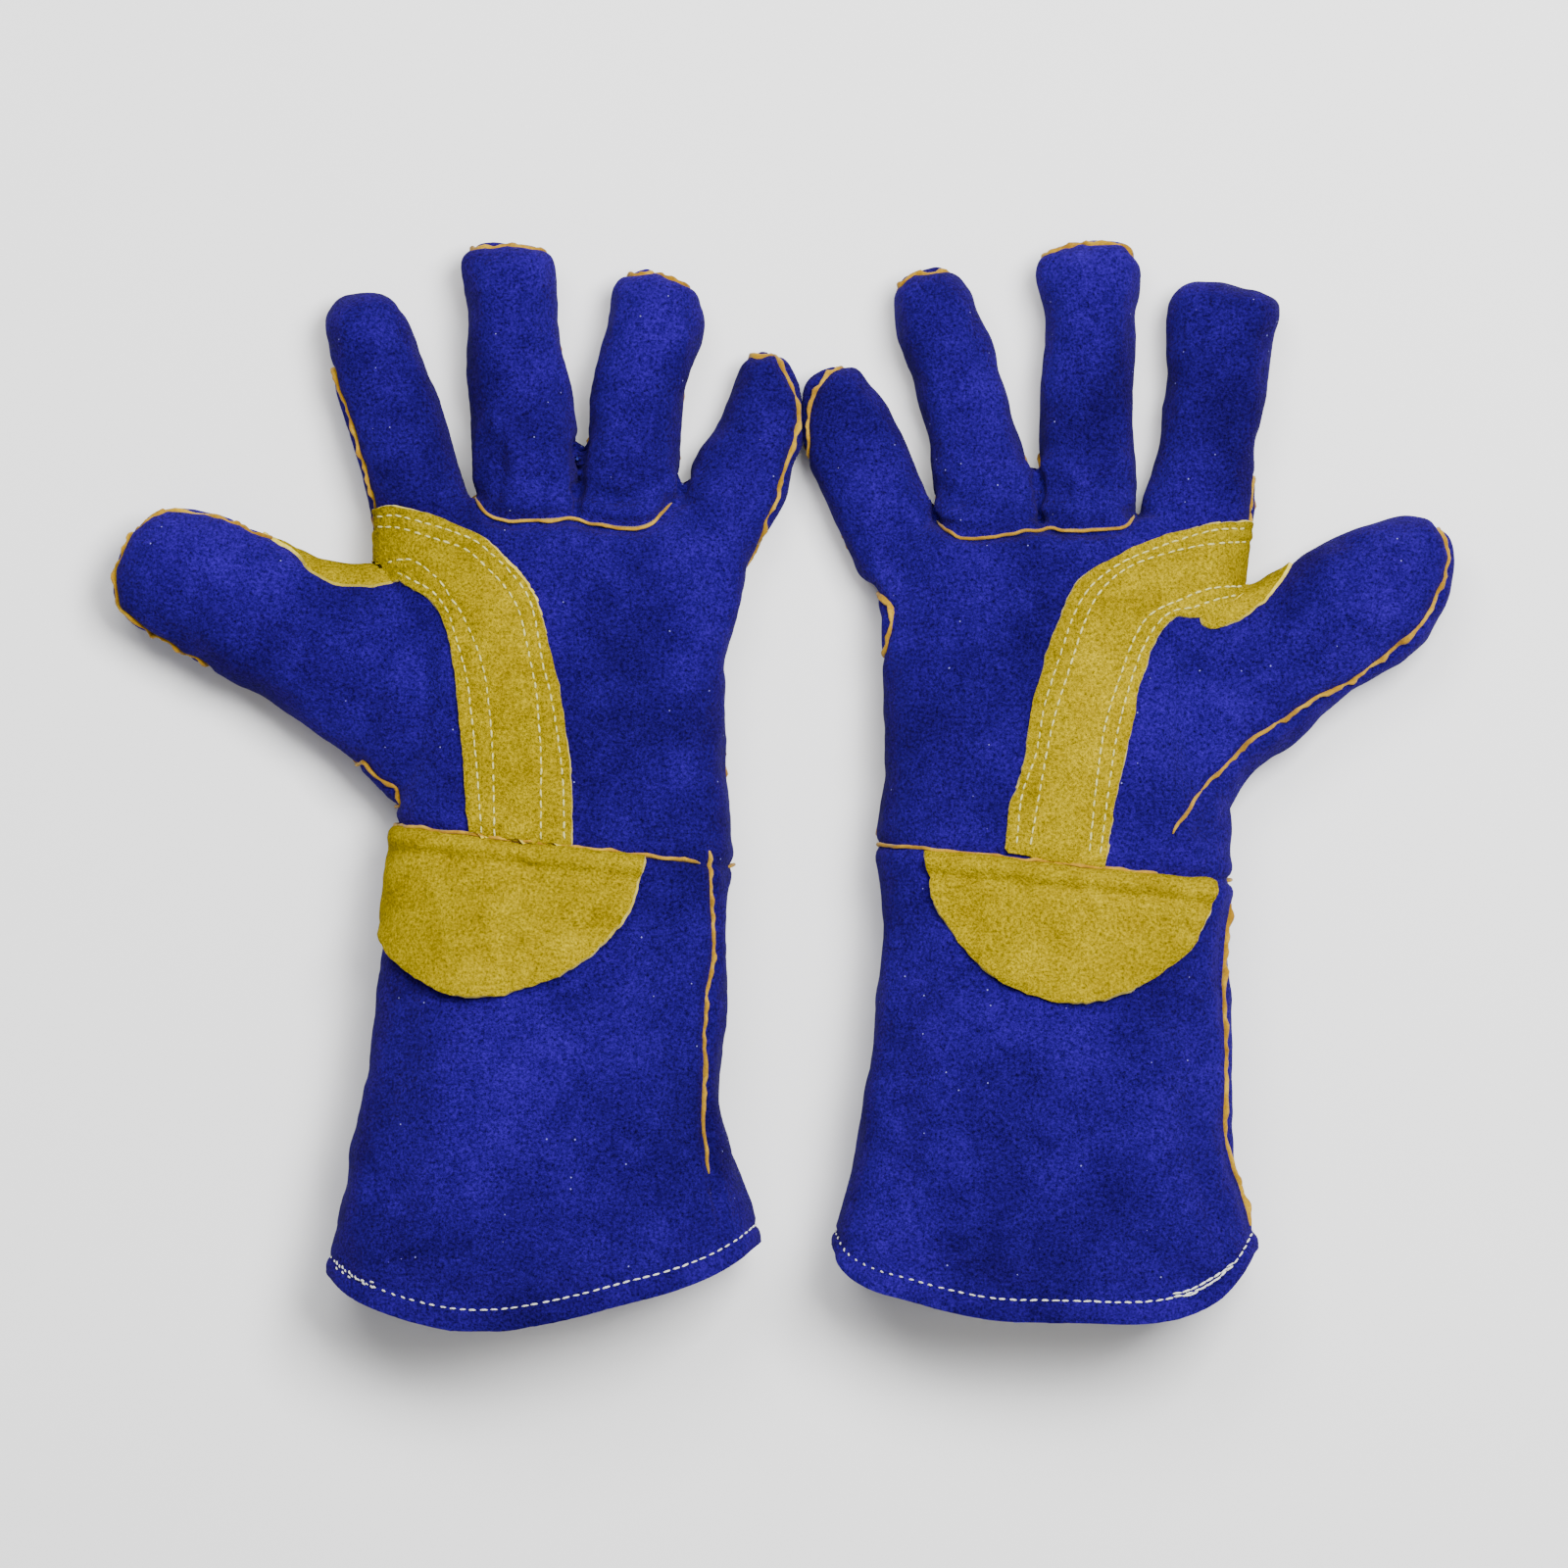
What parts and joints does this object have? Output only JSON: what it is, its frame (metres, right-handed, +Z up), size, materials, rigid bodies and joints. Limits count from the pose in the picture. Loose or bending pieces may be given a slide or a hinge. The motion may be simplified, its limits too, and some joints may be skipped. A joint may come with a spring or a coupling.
{
  "type": "welding gloves",
  "caption": "Pair of gauntlet welding gloves in blue split leather with a yellow palm strip, wrist flap and thumb patch, lying palm up.",
  "frame": {"origin": "middle of the pair's footprint, on the surface that the gloves lie on", "axes": "+Y from the cuffs towards the fingertips, +X from the left glove to the right glove, +Z up, out of the palms"},
  "size_m": [0.441, 0.3566, 0.0651],
  "materials": {
    "blue_suede": "matte suede",
    "yellow_suede": "matte suede",
    "welt_leather": "matte raw leather",
    "thread": "matte twisted thread",
    "lining": "matte cotton fleece"
  },
  "bodies": {
    "left_cuff": {"left_cuff_panel": "blue_suede", "left_cuff_lining": "lining", "left_cuff_seam_welt": "welt_leather", "left_hem_stitching": "thread", "left_wrist_welt": "welt_leather"},
    "left_flap": {"left_wrist_flap": "yellow_suede"},
    "left_hand": {"left_palm_panel": "blue_suede", "left_back_panel": "blue_suede", "left_hand_lining": "lining", "left_side_welts": "welt_leather", "left_palm_strip": "yellow_suede", "left_palm_strip_stitching": "thread", "left_finger_base_welt": "welt_leather"},
    "left_index": {"left_index_front": "blue_suede", "left_index_back": "blue_suede", "left_index_welt": "welt_leather"},
    "left_middle": {"left_middle_front": "blue_suede", "left_middle_back": "blue_suede", "left_middle_welt": "welt_leather"},
    "left_ring": {"left_ring_front": "blue_suede", "left_ring_back": "blue_suede", "left_ring_welt": "welt_leather"},
    "left_pinky": {"left_pinky_front": "blue_suede", "left_pinky_back": "blue_suede", "left_pinky_welt": "welt_leather"},
    "left_thumb": {"left_thumb_front": "blue_suede", "left_thumb_back": "blue_suede", "left_thumb_welt": "welt_leather", "left_thumb_crotch_patch": "yellow_suede"},
    "right_cuff": {"right_cuff_panel": "blue_suede", "right_cuff_lining": "lining", "right_cuff_seam_welt": "welt_leather", "right_hem_stitching": "thread", "right_wrist_welt": "welt_leather"},
    "right_flap": {"right_wrist_flap": "yellow_suede"},
    "right_hand": {"right_palm_panel": "blue_suede", "right_back_panel": "blue_suede", "right_hand_lining": "lining", "right_side_welts": "welt_leather", "right_palm_strip": "yellow_suede", "right_palm_strip_stitching": "thread", "right_finger_base_welt": "welt_leather"},
    "right_index": {"right_index_front": "blue_suede", "right_index_back": "blue_suede", "right_index_welt": "welt_leather"},
    "right_middle": {"right_middle_front": "blue_suede", "right_middle_back": "blue_suede", "right_middle_welt": "welt_leather"},
    "right_ring": {"right_ring_front": "blue_suede", "right_ring_back": "blue_suede", "right_ring_welt": "welt_leather"},
    "right_pinky": {"right_pinky_front": "blue_suede", "right_pinky_back": "blue_suede", "right_pinky_welt": "welt_leather"},
    "right_thumb": {"right_thumb_front": "blue_suede", "right_thumb_back": "blue_suede", "right_thumb_welt": "welt_leather", "right_thumb_crotch_patch": "yellow_suede"}
  },
  "joints": [
    {"name": "pair_slide", "type": "slide", "parent": "left_cuff", "child": "right_cuff", "axis": [1, 0, 0], "range_m": [0, 0.3]},
    {"name": "left_wrist_flex", "type": "hinge", "parent": "left_cuff", "child": "left_hand", "pos_m": [-0.0733, -0.02021, 0.052], "axis": [0.9925, -0.1219, 0], "range_deg": [0, 40]},
    {"name": "left_flap_lift", "type": "hinge", "parent": "left_cuff", "child": "left_flap", "pos_m": [-0.0733, -0.02021, 0.052], "axis": [-0.9925, 0.1219, 0], "range_deg": [0, 85]},
    {"name": "left_index_flex", "type": "hinge", "parent": "left_hand", "child": "left_index", "pos_m": [-0.1173, 0.08879, 0.04], "axis": [0.9563, 0.2924, 0], "range_deg": [0, 75]},
    {"name": "left_middle_flex", "type": "hinge", "parent": "left_hand", "child": "left_middle", "pos_m": [-0.0856, 0.09329, 0.04], "axis": [0.9979, 0.0645, 0], "range_deg": [0, 75]},
    {"name": "left_ring_flex", "type": "hinge", "parent": "left_hand", "child": "left_ring", "pos_m": [-0.0523, 0.09279, 0.04], "axis": [0.9893, -0.1461, 0], "range_deg": [0, 75]},
    {"name": "left_pinky_flex", "type": "hinge", "parent": "left_hand", "child": "left_pinky", "pos_m": [-0.0217, 0.08509, 0.04], "axis": [0.9472, -0.3206, 0], "range_deg": [0, 75]},
    {"name": "left_thumb_flex", "type": "hinge", "parent": "left_hand", "child": "left_thumb", "pos_m": [-0.1173, 0.03179, 0.0425], "axis": [0, 1, 0], "range_deg": [0, 70]},
    {"name": "right_wrist_flex", "type": "hinge", "parent": "right_cuff", "child": "right_hand", "pos_m": [0.0892, -0.02601, 0.052], "axis": [0.9947, -0.1028, 0], "range_deg": [0, 40]},
    {"name": "right_flap_lift", "type": "hinge", "parent": "right_cuff", "child": "right_flap", "pos_m": [0.0892, -0.02601, 0.052], "axis": [-0.9947, 0.1028, 0], "range_deg": [0, 85]},
    {"name": "right_index_flex", "type": "hinge", "parent": "right_hand", "child": "right_index", "pos_m": [0.1356, 0.08749, 0.04], "axis": [0.989, -0.1478, 0], "range_deg": [0, 75]},
    {"name": "right_middle_flex", "type": "hinge", "parent": "right_hand", "child": "right_middle", "pos_m": [0.0996, 0.09099, 0.04], "axis": [1, 0, 0], "range_deg": [0, 75]},
    {"name": "right_ring_flex", "type": "hinge", "parent": "right_hand", "child": "right_ring", "pos_m": [0.0676, 0.08749, 0.04], "axis": [0.9728, 0.2317, 0], "range_deg": [0, 75]},
    {"name": "right_pinky_flex", "type": "hinge", "parent": "right_hand", "child": "right_pinky", "pos_m": [0.0322, 0.07799, 0.04], "axis": [0.9613, 0.2756, 0], "range_deg": [0, 75]},
    {"name": "right_thumb_flex", "type": "hinge", "parent": "right_hand", "child": "right_thumb", "pos_m": [0.1367, 0.02749, 0.0425], "axis": [0, -1, 0], "range_deg": [0, 70]}
  ]
}
